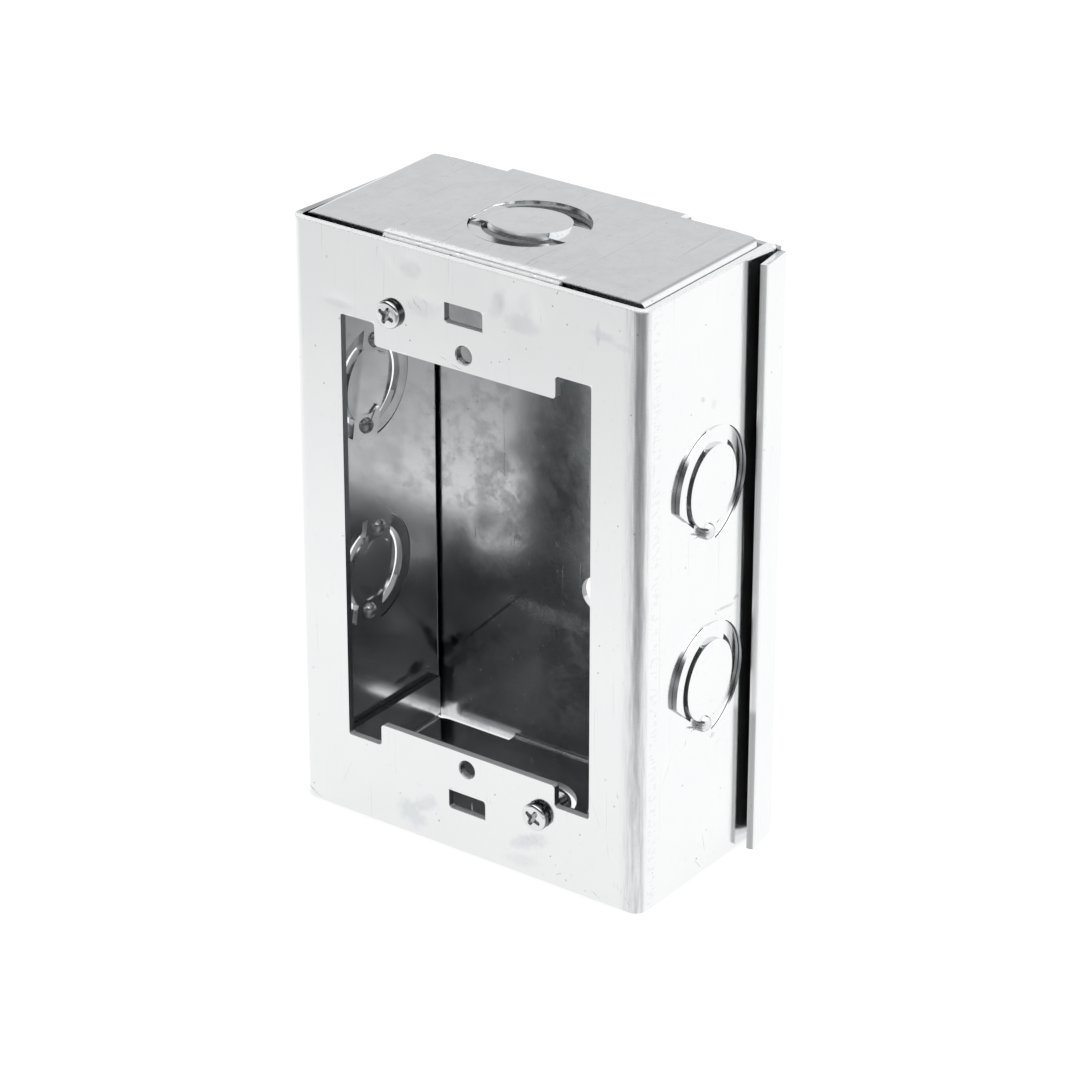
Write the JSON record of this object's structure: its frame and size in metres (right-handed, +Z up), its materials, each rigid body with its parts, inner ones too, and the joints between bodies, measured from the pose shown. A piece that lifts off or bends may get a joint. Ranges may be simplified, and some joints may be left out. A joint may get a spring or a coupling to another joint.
{
  "type": "metal back box",
  "caption": "Open-fronted steel back box for a flush wall device, folded from sheet, with ears, pried knockouts and a screwed front frame.",
  "frame": {"origin": "on the underside of the bottom plate, under the middle of the box's whole width and depth", "axes": "+Z up the box's height, +X to the right as the open front is faced, +Y from the front frame back to the wall behind the box"},
  "size_m": [0.0834, 0.0448, 0.1213],
  "materials": {
    "galvanised_sheet": "semi-bright zinc-coated steel sheet with fine handling scratches, scuffs and small dark specks",
    "zinc_plated_screw": "bright zinc-plated steel"
  },
  "bodies": {
    "root": {"front_and_sides": "galvanised_sheet", "top_back_and_bottom": "galvanised_sheet", "screw_upper": "zinc_plated_screw", "screw_lower": "zinc_plated_screw"}
  },
  "joints": []
}
